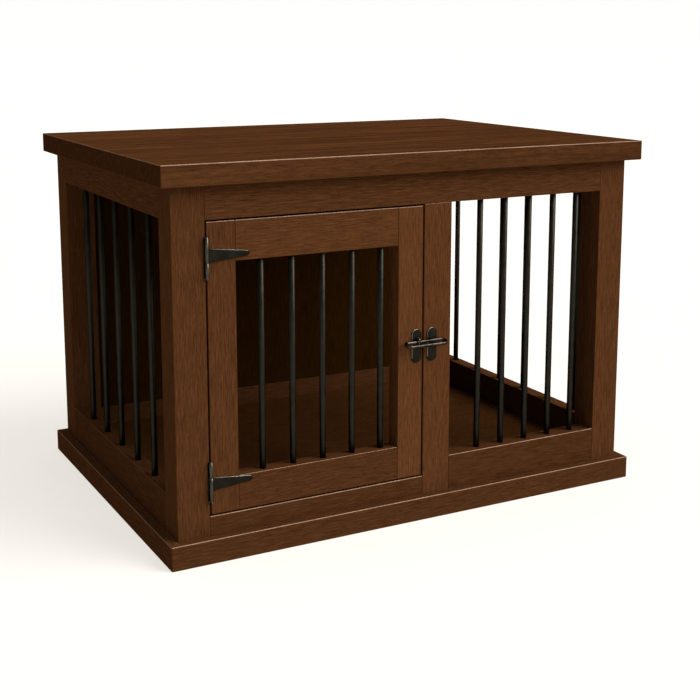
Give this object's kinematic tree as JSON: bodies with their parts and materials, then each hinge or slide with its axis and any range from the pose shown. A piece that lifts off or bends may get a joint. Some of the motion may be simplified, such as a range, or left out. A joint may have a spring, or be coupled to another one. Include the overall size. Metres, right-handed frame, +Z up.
{
  "type": "dog crate",
  "caption": "Wooden furniture-style dog crate with a solid table top, round steel bars, a solid back and an inset barred door on strap hinges with a ring latch.",
  "frame": {"origin": "on the floor, under the middle of the crate's box", "axes": "+X along the crate's length to the right seen from the front, +Y towards the solid back, +Z up; the door faces -Y"},
  "size_m": [0.956, 0.704, 0.666],
  "materials": {
    "frame_wood": "dark walnut stain, satin",
    "top_wood": "dark walnut stain, satin",
    "inner_wood": "dark walnut stain, matt",
    "bar_steel": "black powder coat, satin",
    "hardware": "oil-rubbed black, semi-gloss"
  },
  "bodies": {
    "frame": {"top_panel": "top_wood", "post_front_left": "frame_wood", "post_front_right": "frame_wood", "post_rear_left": "frame_wood", "post_rear_right": "frame_wood", "front_top_rail": "frame_wood", "front_window_rail": "frame_wood", "front_sill_rail": "frame_wood", "front_centre_stile": "frame_wood", "left_top_rail": "frame_wood", "left_bottom_rail": "frame_wood", "right_top_rail": "frame_wood", "right_bottom_rail": "frame_wood", "rear_top_rail": "frame_wood", "rear_bottom_rail": "frame_wood", "rear_panel": "inner_wood", "floor_board_front": "inner_wood", "floor_board_rear": "inner_wood", "floor_cleat_left": "inner_wood", "floor_cleat_right": "inner_wood", "floor_bearer": "inner_wood", "plinth_front": "frame_wood", "plinth_left": "frame_wood", "plinth_right": "frame_wood", "plinth_rear": "frame_wood", "door_stop": "frame_wood", "window_bar_1": "bar_steel", "window_bar_2": "bar_steel", "window_bar_3": "bar_steel", "window_bar_4": "bar_steel", "window_bar_5": "bar_steel", "left_bar_1": "bar_steel", "left_bar_2": "bar_steel", "left_bar_3": "bar_steel", "left_bar_4": "bar_steel", "left_bar_5": "bar_steel", "right_bar_1": "bar_steel", "right_bar_2": "bar_steel", "right_bar_3": "bar_steel", "right_bar_4": "bar_steel", "right_bar_5": "bar_steel", "right_bar_6": "bar_steel", "upper_hinge_leaf": "hardware", "upper_hinge_pin": "hardware", "lower_hinge_leaf": "hardware", "lower_hinge_pin": "hardware", "latch_keeper": "hardware"},
    "door": {"door_hinge_stile": "frame_wood", "door_latch_stile": "frame_wood", "door_top_rail": "frame_wood", "door_bottom_rail": "frame_wood", "door_bar_1": "bar_steel", "door_bar_2": "bar_steel", "door_bar_3": "bar_steel", "door_bar_4": "bar_steel", "door_bar_5": "bar_steel", "upper_hinge_strap": "hardware", "lower_hinge_strap": "hardware", "door_latch_plate": "hardware"},
    "latch_ring": {"latch_ring": "hardware"}
  },
  "joints": [
    {"name": "door_hinge", "type": "hinge", "parent": "frame", "child": "door", "pos_m": [-0.3973, -0.3336, 0.33], "axis": [0, 0, -1], "range_deg": [0, 175]},
    {"name": "latch_lift", "type": "hinge", "parent": "door", "child": "latch_ring", "pos_m": [-0.0033, -0.3366, 0.328], "axis": [0, -1, 0], "range_deg": [-9, 40]}
  ]
}
